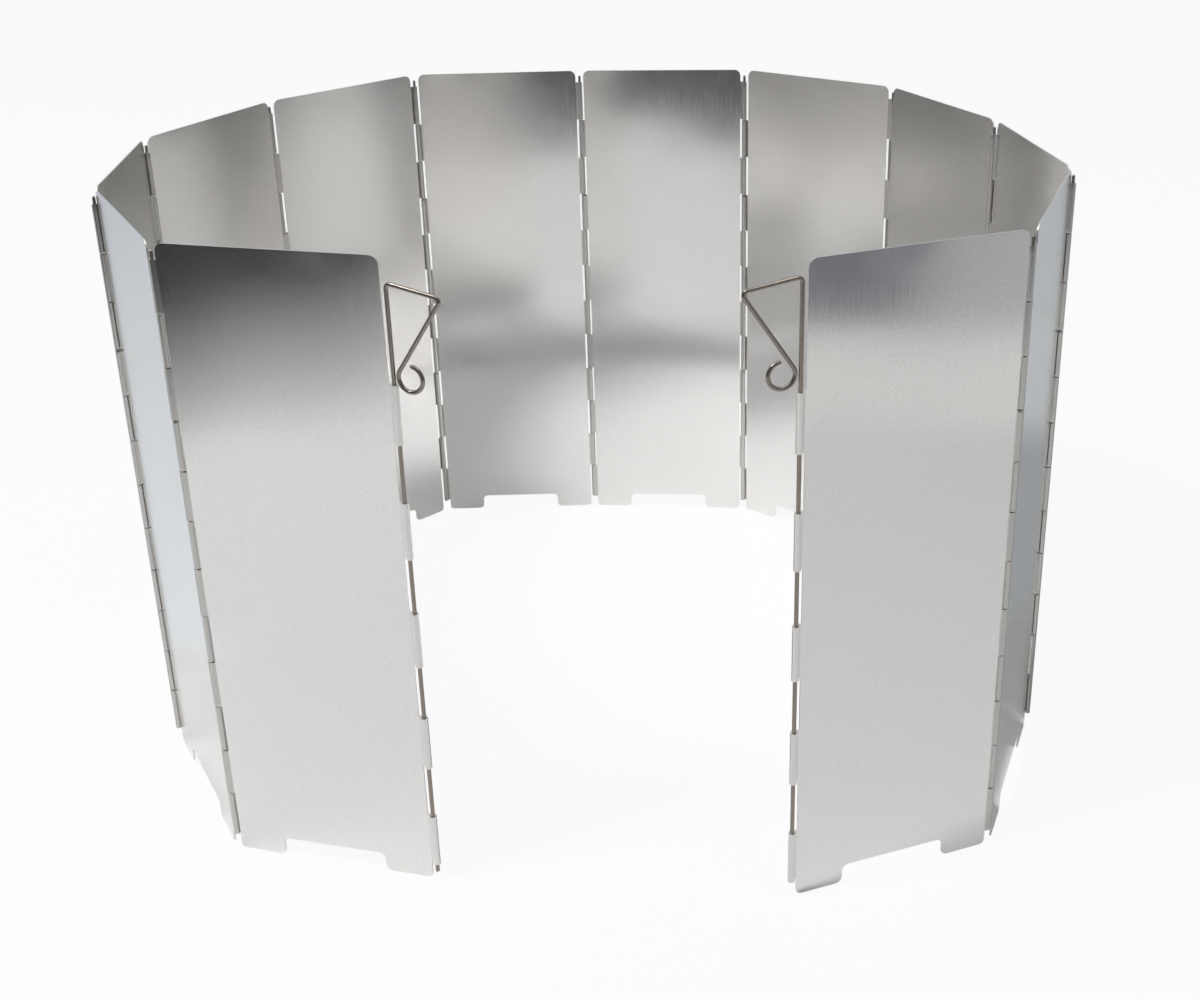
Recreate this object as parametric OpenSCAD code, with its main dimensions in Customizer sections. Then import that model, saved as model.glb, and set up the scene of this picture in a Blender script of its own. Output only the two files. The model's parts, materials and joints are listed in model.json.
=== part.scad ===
// Folding stove windscreen: twelve sheet panels joined by rolled hinges, a wire pin at each free edge.
// The screen stands open in a C. +Z is up, the mouth of the C faces -Y, and the feet stand on z = 0.

/* [Panels] */
// Height of a panel from its feet to its top edge
panel_h = 240; // [200:1:300]
// Distance between the hinge axes at the two sides of a panel
hinge_pitch = 82; // [70:1:110]
// Thickness of the sheet
sheet_t = 0.5; // [0.4:0.05:0.6]
// Radius of the two top corners
top_corner_r = 3; // [1:0.5:5]
// Radius of the outer corners of the feet
foot_corner_r = 2; // [1:0.5:3]

/* [Air notch] */
// Width of the notch between the two feet of a panel
notch_w = 41; // [20:1:50]
// Height of the notch
notch_h = 7.5; // [6:0.5:15]
// Radius of the upper corners of the notch
notch_r = 2.5; // [1:0.5:4]
// Radius of the inner corners of the feet
notch_lip_r = 2.5; // [1:0.5:3]

/* [Hinges] */
// Diameter of the wire that runs through a hinge
hinge_pin_d = 1.6; // [1.4:0.1:2]
// Gap all round a pin in its knuckles
running_gap = 0.08; // [0.05:0.01:0.1]
// Places for knuckles along a hinge, shared in turn by the two panels
hinge_places = 12; // [8:2:16]
// Bare height above the first knuckle and below the last
hinge_margin = 5.5; // [4:0.5:8]
// Gap between the ends of neighbouring knuckles
knuckle_gap = 0.3; // [0.2:0.1:0.6]
// Slit between a knuckle and the edge of the sheet behind it
slot_gap = 1; // [0.8:0.1:2]
// Gap between knuckles that lie side by side when the screen is folded flat
stack_gap = 0.4; // [0.3:0.1:1]
// Width of the slit where the rolled sheet meets itself
seam_w = 0.25; // [0.15:0.05:0.35]
// How far a hinge pin stands out above its first knuckle
pin_stand_out = 3; // [1:0.5:4]
// Height of the bevel on the ends of the pins
pin_bevel = 0.3; // [0.2:0.1:0.5]

/* [Free edges] */
// Diameter of the end pins
end_pin_d = 1.5; // [1.2:0.1:2.4]
// Number of knuckles on a free edge
end_knuckles = 5; // [3:1:5]
// Height of the lowest knuckle above the ground
end_bottom = 7.2; // [6:0.1:10]
// Slit between an end pin's knuckle and the edge of the sheet beside it
end_slot_gap = 1.3; // [1:0.1:2.5]
// How far the left end pin shows below its last knuckle
end_pin_below = 3.7; // [1:0.1:5]
// How far the right end pin is drawn up
right_pin_lift = 3.5; // [0:0.5:6]

/* [Handles] */
// Bare height of a free edge above its first knuckle, where the handle is
handle_room = 43; // [40:1:60]
// How far the bend at the top of the left handle lies below the top edge of its panel
handle_below_top = 8.5; // [5:0.5:12]
// How far the top bar of a handle reaches out from its pin
handle_reach = 20; // [15:0.5:25]
// How far the top bar slopes down
handle_drop = 3; // [0:0.5:6]
// Radius at the middle of the wire in the two corners of a handle
handle_bend_r = 1.5; // [1.5:0.5:4]
// Radius at the middle of the wire in the curl at its end
curl_r = 4.5; // [3:0.5:5]
// Gap between the curl and the pin beside it
curl_gap = 0.4; // [0.3:0.1:1]
// How far the middle of the curl lies below the bend at the top
curl_drop = 31.5; // [27:0.5:34]
// How far round the curl goes, in degrees
curl_sweep = 300; // [200:10:310]
// Turn of the left handle out of the plane of its panel, in degrees
left_handle_turn = 10; // [-40:1:40]
// Turn of the right handle out of the plane of its panel, in degrees
right_handle_turn = -4; // [-40:1:40]

/* [Standing pose] */
// Turn at hinge 1, between the left end panel and the next, in degrees
turn_1 = 46; // [20:1:60]
// Turn at hinge 2
turn_2 = 25; // [10:1:40]
// Turn at hinge 3
turn_3 = 31; // [10:1:40]
// Turn at hinge 4
turn_4 = 19; // [10:1:40]
// Turn at hinge 5
turn_5 = 44; // [20:1:50]
// Turn at hinge 6, in the middle of the back
turn_6 = 6; // [0:1:20]
// Turn at hinge 7
turn_7 = 33; // [20:1:50]
// Turn at hinge 8
turn_8 = 29; // [10:1:40]
// Turn at hinge 9
turn_9 = 16; // [10:1:40]
// Turn at hinge 10
turn_10 = 29; // [10:1:40]
// Turn at hinge 11, before the right end panel
turn_11 = 48; // [20:1:60]

/* [Hidden] */
panels = 12;
$fn = 64;

aluminium = [0.79, 0.79, 0.80];
steel = [0.45, 0.44, 0.43];

turns = [turn_1, turn_2, turn_3, turn_4, turn_5, turn_6, turn_7, turn_8, turn_9, turn_10, turn_11];
back_panel = 6;

// Knuckles: bore and outside diameter at the hinges and at the free edges
hinge_bore = hinge_pin_d + 2 * running_gap;
hinge_od = hinge_bore + 2 * sheet_t;
end_bore = end_pin_d + 2 * running_gap;
end_od = end_bore + 2 * sheet_t;

// Odd hinges fold inwards and have their axis inside the sheet.
// Even hinges fold outwards and have their axis outside it.
// Folded flat, the hinges on one side of the stack then lie four offsets apart.
// That leaves room for a knuckle and a gap.
hinge_axis_off = (hinge_od + stack_gap) / 4;

// The free edges lie on the side of the even hinges, and clear the nearest of them by the same gap
end_axis_off = (end_od + hinge_od) / 2 + stack_gap - 3 * hinge_axis_off;

// Heights of the knuckle places
hinge_place_h = (panel_h - 2 * hinge_margin) / hinge_places;
end_place_h = (panel_h - handle_room - end_bottom) / (2 * end_knuckles - 1);

// Is this one of the two free edges?
function is_free(i) = i == 0 || i == panels;

// How far the axis at edge i lies outside the middle of the sheet
function axis_off(i) = is_free(i) ? end_axis_off : i % 2 == 0 ? hinge_axis_off : -hinge_axis_off;
function edge_od(i) = is_free(i) ? end_od : hinge_od;
function edge_bore(i) = is_free(i) ? end_bore : hinge_bore;
function edge_slot(i) = is_free(i) ? end_slot_gap : slot_gap;

// From the axis to the cut edge of the sheet, and to the end of a tab inside the knuckle's wall
function edge_back(i) = edge_od(i) / 2 + edge_slot(i);
function wall_mid_r(i) = (edge_od(i) + edge_bore(i)) / 4;
function tab_back(i) = sqrt(wall_mid_r(i) ^ 2 - axis_off(i) ^ 2);

// Heights where the knuckles of an edge start, and their length
function place_from_top(n) = panel_h - hinge_margin - n * hinge_place_h;
function hinge_starts(first) = [
    for (n = [first:2:hinge_places]) place_from_top(n) + knuckle_gap / 2
];
function end_starts() = [
    for (n = [0:end_knuckles - 1]) end_bottom + 2 * n * end_place_h
];
function left_starts(k) = k == 1 ? end_starts() : hinge_starts(2);
function right_starts(k) = k == panels ? end_starts() : hinge_starts(1);
function knuckle_len(i) = is_free(i) ? end_place_h : hinge_place_h - knuckle_gap;

// Standing pose in plan: the direction in which each panel runs, and the place of each axis
function turned(n) = n == 0 ? 0 : turned(n - 1) + turns[n - 1];
function heading(k) = turn_6 / 2 + turned(back_panel - 1) - turned(k - 1);
function direction(angle) = [cos(angle), sin(angle)];
function along(angle, x, y) = [x * cos(angle) - y * sin(angle), x * sin(angle) + y * cos(angle)];
function chain(i) = i == 0
    ? [0, 0]
    : chain(i - 1) + along(heading(i), hinge_pitch, axis_off(i) - axis_off(i - 1));

// A bend is a hair thicker than the wire, and straight lengths run a little way into it to join it
bend_swell = 0.04;
bend_d = end_pin_d + bend_swell;
run_into_bend = 0.05;

// Handles in their own plane: u runs out from the pin, z up from the tip
left_tip_z = end_bottom - end_pin_below;
handle_bend_z = panel_h - handle_below_top - left_tip_z;
bend_top = [0, handle_bend_z];
bend_out = [handle_reach, handle_bend_z - handle_drop];
curl_mid = [end_pin_d + curl_gap + curl_r, handle_bend_z - curl_drop];
curl_to_bend = bend_out - curl_mid;
curl_start = atan2(curl_to_bend.y, curl_to_bend.x) + acos(curl_r / norm(curl_to_bend));
curl_join = curl_mid + curl_r * direction(curl_start);
left_handle_angle = heading(1) + 180 - left_handle_turn;
right_handle_angle = heading(panels) + right_handle_turn;

// Angle of the line from p to q, and how much the wire turns at a corner between two such lines
function line_angle(p, q) = atan2(q.y - p.y, q.x - p.x);
bar_angle = line_angle(bend_top, bend_out);
stay_angle = line_angle(bend_out, curl_join);
top_turn = 90 - bar_angle;
out_turn = bar_angle - stay_angle;
function corner_cut(turn) = handle_bend_r * tan(turn / 2);

// The two ends of the top bar's straight length, and the middle of the bend at its outer end
bar_start = bend_top + corner_cut(top_turn) * direction(bar_angle);
bar_end = bend_out - corner_cut(out_turn) * direction(bar_angle);
out_bend_mid = bar_end + handle_bend_r * direction(bar_angle - 90);

// The origin is below the middle of the part, found from the outermost knuckles and handles
handle_out = out_bend_mid.x + handle_bend_r;
left_handle_end = chain(0) + handle_out * direction(left_handle_angle);
right_handle_end = chain(panels) + handle_out * direction(right_handle_angle);
low_points = [
    for (i = [0:panels]) chain(i) - [1, 1] * edge_od(i) / 2,
    left_handle_end - [1, 1] * bend_d / 2,
    right_handle_end - [1, 1] * bend_d / 2
];
high_points = [
    for (i = [0:panels]) chain(i) + [1, 1] * edge_od(i) / 2,
    left_handle_end + [1, 1] * bend_d / 2,
    right_handle_end + [1, 1] * bend_d / 2
];
low_corner = [min([for (p = low_points) p.x]), min([for (p = low_points) p.y])];
high_corner = [max([for (p = high_points) p.x]), max([for (p = high_points) p.y])];
function axis_place(i) = chain(i) - (low_corner + high_corner) / 2;

// A square corner with a round cut out of it, which rounds an outline's corner when it is taken away
module corner_waste(r) {
    difference() {
        translate([-r, -r]) square(2 * r);
        translate([r, r]) circle(r);
        translate([-r, r]) square([2 * r, r]);
        translate([r, -r]) square([r, 2 * r]);
    }
}

// The notch, with round upper corners and with the feet's inner corners rounded off
module notch_outline() {
    difference() {
        translate([-notch_w / 2, -notch_h]) square([notch_w, 2 * notch_h]);
        translate([-notch_w / 2, notch_h]) mirror([0, 1]) corner_waste(notch_r);
        translate([notch_w / 2, notch_h]) rotate(180) corner_waste(notch_r);
    }
    translate([notch_w / 2, 0]) corner_waste(notch_lip_r);
    translate([-notch_w / 2, 0]) mirror([1, 0]) corner_waste(notch_lip_r);
}

// The flat of a panel, seen from outside in, with x from the left axis to the right one
module sheet_outline(k) {
    left = edge_back(k - 1);
    right = hinge_pitch - edge_back(k);
    difference() {
        translate([left, 0]) square([right - left, panel_h]);
        translate([left, panel_h]) mirror([0, 1]) corner_waste(top_corner_r);
        translate([right, panel_h]) rotate(180) corner_waste(top_corner_r);
        translate([left, 0]) corner_waste(foot_corner_r);
        translate([right, 0]) mirror([1, 0]) corner_waste(foot_corner_r);
        translate([(left + right) / 2, 0]) notch_outline();
    }
    left_tab = left - tab_back(k - 1) + sheet_t;
    right_tab = hinge_pitch - tab_back(k) - right + sheet_t;
    for (z = left_starts(k)) {
        translate([tab_back(k - 1), z]) square([left_tab, knuckle_len(k - 1)]);
    }
    for (z = right_starts(k)) {
        translate([right - sheet_t, z]) square([right_tab, knuckle_len(k)]);
    }
}

// A rolled knuckle on edge i, its axis at the origin and its sheet on the side of -X
module knuckle_outline(i) {
    mirror([0, axis_off(i) > 0 ? 0 : 1]) difference() {
        circle(d = edge_od(i));
        circle(d = edge_bore(i));
        translate([-edge_od(i), sheet_t / 2 - abs(axis_off(i))]) square([edge_od(i), seam_w]);
    }
}

// One panel in its own place: its sheet in the plane y = 0, with y > 0 on the outside of the screen
module panel_flat(k) {
    rotate([90, 0, 0]) linear_extrude(sheet_t, center = true) sheet_outline(k);
    for (z = left_starts(k)) {
        translate([0, axis_off(k - 1), z]) linear_extrude(knuckle_len(k - 1)) {
            mirror([1, 0]) knuckle_outline(k - 1);
        }
    }
    for (z = right_starts(k)) {
        translate([hinge_pitch, axis_off(k), z]) linear_extrude(knuckle_len(k)) {
            knuckle_outline(k);
        }
    }
}

// A panel of the standing screen
module panel(k) {
    color(aluminium) translate(axis_place(k - 1)) rotate(heading(k)) {
        translate([0, -axis_off(k - 1), 0]) panel_flat(k);
    }
}

// A straight wire with bevelled ends, from z = 0 up
module bevelled_wire(d, length) {
    cylinder(d1 = d - 2 * pin_bevel, d2 = d, h = pin_bevel);
    translate([0, 0, pin_bevel]) cylinder(d = d, h = length - 2 * pin_bevel);
    translate([0, 0, length - pin_bevel]) cylinder(d1 = d, d2 = d - 2 * pin_bevel, h = pin_bevel);
}

// The pin of hinge i: flush with the last knuckle, standing out above the first
module hinge_pin(i) {
    bottom = hinge_margin + knuckle_gap / 2;
    length = panel_h - 2 * hinge_margin - knuckle_gap + pin_stand_out;
    color(steel) translate([axis_place(i).x, axis_place(i).y, bottom]) bevelled_wire(hinge_pin_d, length);
}

// A straight length of the end pin's wire between two bends in the handle's plane
module wire_run(p, q) {
    angle = line_angle(p, q);
    start = p - run_into_bend * direction(angle);
    translate([start.x, 0, start.y]) rotate([0, 90 - angle, 0]) {
        cylinder(d = end_pin_d, h = norm(q - p) + 2 * run_into_bend);
    }
}

// A bend of the wire about a point of the handle's plane, from one angle through a sweep
module wire_bend(mid, r, from, sweep) {
    translate([mid.x, 0, mid.y]) rotate([90, 0, 0]) rotate(from) rotate_extrude(angle = sweep) {
        translate([r, 0]) circle(d = bend_d);
    }
}

// An end pin: up through its knuckles, out along the bar, back down to the pin, and round the curl
module end_pin_wire() {
    pin_top = handle_bend_z - corner_cut(top_turn);
    stay_start = bend_out + corner_cut(out_turn) * direction(stay_angle);
    cylinder(d1 = end_pin_d - 2 * pin_bevel, d2 = end_pin_d, h = pin_bevel);
    translate([0, 0, pin_bevel]) cylinder(d = end_pin_d, h = pin_top - pin_bevel + run_into_bend);
    wire_bend([handle_bend_r, pin_top], handle_bend_r, 180, -top_turn);
    wire_run(bar_start, bar_end);
    wire_bend(out_bend_mid, handle_bend_r, bar_angle + 90, -out_turn);
    wire_run(stay_start, curl_join);
    wire_bend(curl_mid, curl_r, curl_start, curl_sweep);
}

// An end pin in its free edge, with its handle pointing along an angle
module end_pin(i, lift, angle) {
    place = axis_place(i);
    color(steel) translate([place.x, place.y, left_tip_z + lift]) rotate(angle) end_pin_wire();
}

for (k = [1:panels]) {
    panel(k);
}
for (i = [1:panels - 1]) {
    hinge_pin(i);
}
end_pin(0, 0, left_handle_angle);  // left_end_pin
end_pin(panels, right_pin_lift, right_handle_angle);  // right_end_pin
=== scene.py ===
# %% [markdown]
# # A folding stove windscreen
# Twelve sheet aluminium panels stand in a C round a camp stove and keep the wind off its flame. Rolled
# knuckles and thin wires join them, so the screen folds like an accordion. A wire with a bent handle runs
# down each free edge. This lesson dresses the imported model: it keeps every place and size, and gives each
# piece the shape and the finish of the real one.

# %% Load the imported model
import json
import math

import bmesh
import bpy
from mathutils import Matrix, Vector


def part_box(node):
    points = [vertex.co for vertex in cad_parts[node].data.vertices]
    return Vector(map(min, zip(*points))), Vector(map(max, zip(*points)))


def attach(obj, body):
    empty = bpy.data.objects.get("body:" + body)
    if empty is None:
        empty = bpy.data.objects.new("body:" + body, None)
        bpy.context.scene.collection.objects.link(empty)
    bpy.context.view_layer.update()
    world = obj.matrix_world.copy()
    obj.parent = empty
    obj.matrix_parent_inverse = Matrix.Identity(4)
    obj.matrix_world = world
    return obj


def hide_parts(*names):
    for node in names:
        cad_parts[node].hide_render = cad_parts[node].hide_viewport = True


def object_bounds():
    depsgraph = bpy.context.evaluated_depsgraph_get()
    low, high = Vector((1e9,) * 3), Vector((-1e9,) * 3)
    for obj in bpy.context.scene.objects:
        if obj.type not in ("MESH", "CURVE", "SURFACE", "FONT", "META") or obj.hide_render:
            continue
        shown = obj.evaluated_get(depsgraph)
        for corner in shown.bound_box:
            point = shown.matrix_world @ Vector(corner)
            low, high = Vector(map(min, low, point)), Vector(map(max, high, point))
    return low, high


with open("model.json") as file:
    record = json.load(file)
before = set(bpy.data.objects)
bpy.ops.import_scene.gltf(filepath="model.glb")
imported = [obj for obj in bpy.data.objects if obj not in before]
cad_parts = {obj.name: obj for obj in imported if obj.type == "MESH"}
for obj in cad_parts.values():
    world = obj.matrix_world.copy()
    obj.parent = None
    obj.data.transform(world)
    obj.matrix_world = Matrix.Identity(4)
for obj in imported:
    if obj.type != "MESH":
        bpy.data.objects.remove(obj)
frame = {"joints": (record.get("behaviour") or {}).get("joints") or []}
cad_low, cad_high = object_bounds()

MM = 0.001

# %% [markdown]
# ## The camera
# The photograph looks down on the screen from in front, through the mouth of the C. The camera's place, turn
# and lens were found by lining up the ends of the hinges with their places in the photograph. The picture
# was cropped low, so the lens is shifted a little, which keeps the uprights as they are there. Tilting the
# camera instead would have made them lean.

# %% Camera
IMAGE_W = 1200
IMAGE_CENTRE = (600, 499.5)
AXIS_PIXEL = (637.8, 390.2)
FOCAL_PIXELS = 1524
SENSOR_W = 36
CAMERA_PLACE_MM = (49.6, -597.7, 378.5)
CAMERA_TURN = (67.78, 1.30, 2.28)

camera_data = bpy.data.cameras.new("camera")
camera_data.sensor_width = SENSOR_W
camera_data.lens = SENSOR_W * FOCAL_PIXELS / IMAGE_W
camera_data.shift_x = (IMAGE_CENTRE[0] - AXIS_PIXEL[0]) / IMAGE_W
camera_data.shift_y = (AXIS_PIXEL[1] - IMAGE_CENTRE[1]) / IMAGE_W
camera = bpy.data.objects.new("camera", camera_data)
camera.location = [place * MM for place in CAMERA_PLACE_MM]
camera.rotation_euler = [math.radians(turn) for turn in CAMERA_TURN]
bpy.context.scene.collection.objects.link(camera)
bpy.context.scene.camera = camera
print("lens:", round(camera_data.lens, 2), "mm")

# %% [markdown]
# ## Small helpers
# Colours are written as the hex values that a paint chart or a picture editor gives. Shaders work in linear
# light, so one function turns the one into the other. A second function adds a node: it sets the node's
# options, then fills each input with a value or with a link. A node given as a value stands for its first
# output, which keeps a long chain of nodes short to write.

# %% Colour and node helpers
def linear(hex_code):
    """Linear RGBA of an sRGB hex colour such as #c8c8c8."""
    shares = [int(hex_code[i:i + 2], 16) / 255 for i in (1, 3, 5)]
    return [s / 12.92 if s <= 0.04045 else ((s + 0.055) / 1.055) ** 2.4 for s in shares] + [1.0]


def add(tree, kind, inputs=None, **options):
    """A new node of that kind in the tree, with its options set and its inputs filled or linked."""
    node = tree.nodes.new(kind)
    for name, value in options.items():
        setattr(node, name, value)
    for key, value in (inputs or {}).items():
        if isinstance(value, bpy.types.Node):
            value = value.outputs[0]
        if isinstance(value, bpy.types.NodeSocket):
            tree.links.new(value, node.inputs[key])
        else:
            node.inputs[key].default_value = value
    return node


def new_material(name):
    """A material of that name, with an empty node tree."""
    material = bpy.data.materials.new(name)
    material.use_nodes = True
    material.node_tree.nodes.clear()
    return material, material.node_tree


print("mid grey in linear light:", [round(c, 3) for c in linear("#808080")[:3]])

# %% [markdown]
# ## Studio
# Bare metal has hardly any colour of its own: what it shows is the room. The photograph was made on a white
# table under soft light, with a darker room round it, and the panels show exactly that: white table low
# down, the room higher up. So the stage is a white floor, two soft lamps and a ring of curtains.
#
# The floor is white paper. To the camera most of it is plain white, as in the photograph, and the rest keeps
# the shadow of the screen. A brighter lamp would also make it white, but it would wash out the metal.

# %% Floor
bpy.context.scene.view_settings.view_transform = "Standard"

FLOOR_SIZE = 8.0
WHITE_SHARE = 0.93
MIRRORED_SHARE = 0.05


def ray_share(tree, camera_share, mirror_share):
    """One share for rays from the camera, another for mirrored rays, and none for the rest."""
    path = add(tree, "ShaderNodeLightPath").outputs
    either = {0: path["Is Glossy Ray"], 1: path["Is Transmission Ray"]}
    mirrored = add(tree, "ShaderNodeMath", either, operation="MAXIMUM")
    mirrored = add(tree, "ShaderNodeMath", {0: mirrored, 1: mirror_share}, operation="MULTIPLY")
    both = {0: path["Is Camera Ray"], 1: camera_share, 2: mirrored}
    return add(tree, "ShaderNodeMath", both, operation="MULTIPLY_ADD")


half = FLOOR_SIZE / 2
floor_corners = [(-half, -half, 0), (half, -half, 0), (half, half, 0), (-half, half, 0)]
floor_mesh = bpy.data.meshes.new("floor")
floor_mesh.from_pydata(floor_corners, [], [(0, 1, 2, 3)])
floor = bpy.data.objects.new("floor", floor_mesh)
bpy.context.scene.collection.objects.link(floor)

floor_paint, tree = new_material("white_table_paper")
paper = add(tree, "ShaderNodeBsdfDiffuse", {"Color": linear("#f4f4f4")})
white = add(tree, "ShaderNodeEmission", {"Color": linear("#ffffff"), "Strength": 1.0})
share = ray_share(tree, WHITE_SHARE, MIRRORED_SHARE)
mixed = add(tree, "ShaderNodeMixShader", {0: share, 1: paper, 2: white})
add(tree, "ShaderNodeOutputMaterial", {"Surface": mixed})
floor_mesh.materials.append(floor_paint)
print("floor:", FLOOR_SIZE, "m square")

# %% [markdown]
# Beyond the floor the background is white where it is seen, but it gives only a little light, so that the
# lamps shape the metal.

# %% Background
AMBIENT = 0.13

world = bpy.data.worlds.new("studio")
world.use_nodes = True
bpy.context.scene.world = world
tree = world.node_tree
tree.nodes.clear()
ambient = add(tree, "ShaderNodeBackground", {"Color": linear("#ffffff"), "Strength": AMBIENT})
shown = add(tree, "ShaderNodeBackground", {"Color": linear("#ffffff"), "Strength": 1.0})
mixed = add(tree, "ShaderNodeMixShader", {0: ray_share(tree, 1.0, 1.0), 1: ambient, 2: shown})
add(tree, "ShaderNodeOutputWorld", {"Surface": mixed})
print("light from the background:", AMBIENT)

# %% [markdown]
# One soft lamp stands high on the left, and a larger, weaker one on the right fills the shadows. Small hard
# lamps would leave hot spots on the metal.

# %% Soft lamps
LAMP_AWAY = 2.6


def softbox(name, azimuth, elevation, size, power):
    """A square soft lamp that looks at the object from a direction given in degrees."""
    data = bpy.data.lights.new(name, "AREA")
    data.shape = "SQUARE"
    data.size = size
    data.energy = power
    lamp = bpy.data.objects.new(name, data)
    turn, rise = math.radians(azimuth), math.radians(elevation)
    level = math.cos(rise)
    lamp.location = LAMP_AWAY * Vector((level * math.cos(turn), level * math.sin(turn), math.sin(rise)))
    lamp.rotation_euler = lamp.location.to_track_quat("Z", "Y").to_euler()
    bpy.context.scene.collection.objects.link(lamp)
    return lamp


key = softbox("key_softbox", azimuth=208, elevation=57, size=0.45, power=35)
fill = softbox("fill_softbox", azimuth=322, elevation=68, size=0.6, power=6.5)
print("lamps:", key.data.energy, "W and", fill.data.energy, "W")

# %% [markdown]
# The curtains are the room that the metal mirrors. Only reflections see them: they give no light, throw no
# shadow and don't show. They hang on arcs round the table, nearly all of them pale at the foot, where the
# table lights them, and darker above. A picture of a room wrapped round the scene would do as well, but
# curtains can be cut exactly where the photograph's panels change from one tone to another.

# %% Curtains round the table
CURTAIN_R = 0.60
CURTAIN_STEPS = 24
FRONT_H = 1.2
BACK_H = 0.8


def reflected_only(name, points, faces, low_colour, high_colour, fade, axis):
    """A card that only reflections see, shaded along one axis between two places."""
    mesh = bpy.data.meshes.new(name)
    mesh.from_pydata(points, [], faces)
    cloth, tree = new_material(name + "_cloth")
    place = add(tree, "ShaderNodeTexCoord").outputs["Object"]
    spot = add(tree, "ShaderNodeSeparateXYZ", {0: place}).outputs[axis]
    share = add(tree, "ShaderNodeMapRange", {"Value": spot, "From Min": fade[0], "From Max": fade[1]})
    tones = {"Factor": share, "A": linear(low_colour), "B": linear(high_colour)}
    colour = add(tree, "ShaderNodeMix", tones, data_type="RGBA").outputs[2]
    shade = add(tree, "ShaderNodeEmission", {"Color": colour, "Strength": 1.0})
    add(tree, "ShaderNodeOutputMaterial", {"Surface": shade})
    mesh.materials.append(cloth)
    piece = bpy.data.objects.new(name, mesh)
    bpy.context.scene.collection.objects.link(piece)
    piece.visible_camera = False
    piece.visible_diffuse = False
    piece.visible_shadow = False
    return piece


def curtain(name, start, end, height, foot_colour, top_colour, fade):
    """A curtain on an arc round the table, in degrees, which changes colour from its foot up."""
    angles = [math.radians(start + (end - start) * n / CURTAIN_STEPS) for n in range(CURTAIN_STEPS + 1)]
    foot = [(CURTAIN_R * math.cos(a), CURTAIN_R * math.sin(a), 0) for a in angles]
    top = [(x, y, height) for x, y, z in foot]
    count = len(angles)
    faces = [(n, n + 1, count + n + 1, count + n) for n in range(CURTAIN_STEPS)]
    return reflected_only(name, foot + top, faces, foot_colour, top_colour, fade, "Z")


curtains = [
    curtain("left_side_curtain", 195, 212, FRONT_H, "#dcdcdc", "#a4a4a6", (0.0, 0.10)),
    curtain("left_curtain", 212, 227, FRONT_H, "#e2e2e2", "#0c0e12", (-0.05, 0.085)),
    curtain("left_front_curtain", 227, 239, FRONT_H, "#e2e2e2", "#0c0e12", (-0.02, 0.10)),
    curtain("left_gap_curtain", 239, 255, FRONT_H, "#dcdcdc", "#8e8e90", (0.0, 0.10)),
    curtain("front_curtain", 255, 266, FRONT_H, "#d8d8d8", "#242528", (0.048, 0.070)),
    curtain("centre_curtain", 266, 277, FRONT_H, "#d8d8d8", "#242528", (0.020, 0.038)),
    curtain("right_gap_curtain", 277, 309, FRONT_H, "#d2d1d0", "#8c8c8e", (0.03, 0.09)),
    curtain("right_curtain", 309, 319, FRONT_H, "#d2d1d0", "#62656c", (0.058, 0.068)),
    curtain("right_end_curtain", 319, 345, FRONT_H, "#d2d1d0", "#aaaaac", (0.058, 0.068)),
    curtain("right_back_curtain", -15, 62, BACK_H, "#b4b8bb", "#b4b8bb", (0.0, 0.20)),
    curtain("back_curtain", 62, 195, BACK_H, "#d0d4d8", "#b4bac2", (0.0, 0.20)),
]
print("curtains:", len(curtains))

# %% [markdown]
# Three cards on the table do the same for the parts of it that the panels mirror from close by. They are
# painted light and shade: the shaded strip across the mouth, and the table on either side of the screen,
# darker on the right, where the screen shades it.

# %% Cards on the table
CARD_LIFT = 0.0002


def floor_card(name, x, y, low_colour, high_colour, fade, axis):
    """A card on the table, between two places along x and two along y."""
    outline = [(x[0], y[0]), (x[1], y[0]), (x[1], y[1]), (x[0], y[1])]
    corners = [(across, deep, CARD_LIFT) for across, deep in outline]
    return reflected_only(name, corners, [(0, 1, 2, 3)], low_colour, high_colour, fade, axis)


# Each card is painted light and shade of the table, darkest in the painted shade strip across the mouth.
cards = [
    floor_card("mouth_painted_shade_card", (-0.11, 0.08), (-0.098, -0.06), "#767678", "#8c8c8e", (-0.098, -0.06), "Y"),
    floor_card("left_floor_card", (-0.60, -0.23), (-0.25, 0.30), "#c8cdd1", "#e2e6e9", (-0.60, -0.23), "X"),
    floor_card("right_painted_shade_card", (0.23, 0.60), (-0.06, 0.42), "#989b9e", "#babdc0", (0.20, 0.25), "Y"),
]
print("cards:", len(cards))

# %% [markdown]
# ## Where the hinges are
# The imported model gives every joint's axis. Edge 0 is the left free edge, edges 1 to 11 are the hinges and
# edge 12 is the right free edge. The axes lie outside and inside the sheet in turn, which lets the panels
# fold flat on each other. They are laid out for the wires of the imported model, 1.6 mm thick. The wires in
# the photograph look thinner, so the hinges here are drawn round 1.2 mm wires on the same axes.

# %% Hinge axes
PANELS = 12
HINGE_PITCH = 82 * MM
SHEET = 0.5 * MM
SOLID_PIN_D = 1.6 * MM
HINGE_PIN_D = 1.2 * MM
END_PIN_D = 1.5 * MM
RUNNING_GAP = 0.08 * MM
STACK_GAP = 0.4 * MM

solid_od = SOLID_PIN_D + 2 * RUNNING_GAP + 2 * SHEET
hinge_od = HINGE_PIN_D + 2 * RUNNING_GAP + 2 * SHEET
end_od = END_PIN_D + 2 * RUNNING_GAP + 2 * SHEET
hinge_offset = (solid_od + STACK_GAP) / 4
end_offset = (end_od + solid_od) / 2 + STACK_GAP - 3 * hinge_offset

joint_place = {joint["name"]: Vector(joint["pos_m"][:2]) for joint in frame["joints"]}
hinge_names = [f"hinge_{i}" for i in range(1, PANELS)]
axis_names = ["left_handle_swivel"] + hinge_names + ["right_handle_swivel"]
axes = [joint_place[name] for name in axis_names]
print("axes:", len(axes), "hinge axis off the sheet:", round(hinge_offset / MM, 2), "mm")

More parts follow.
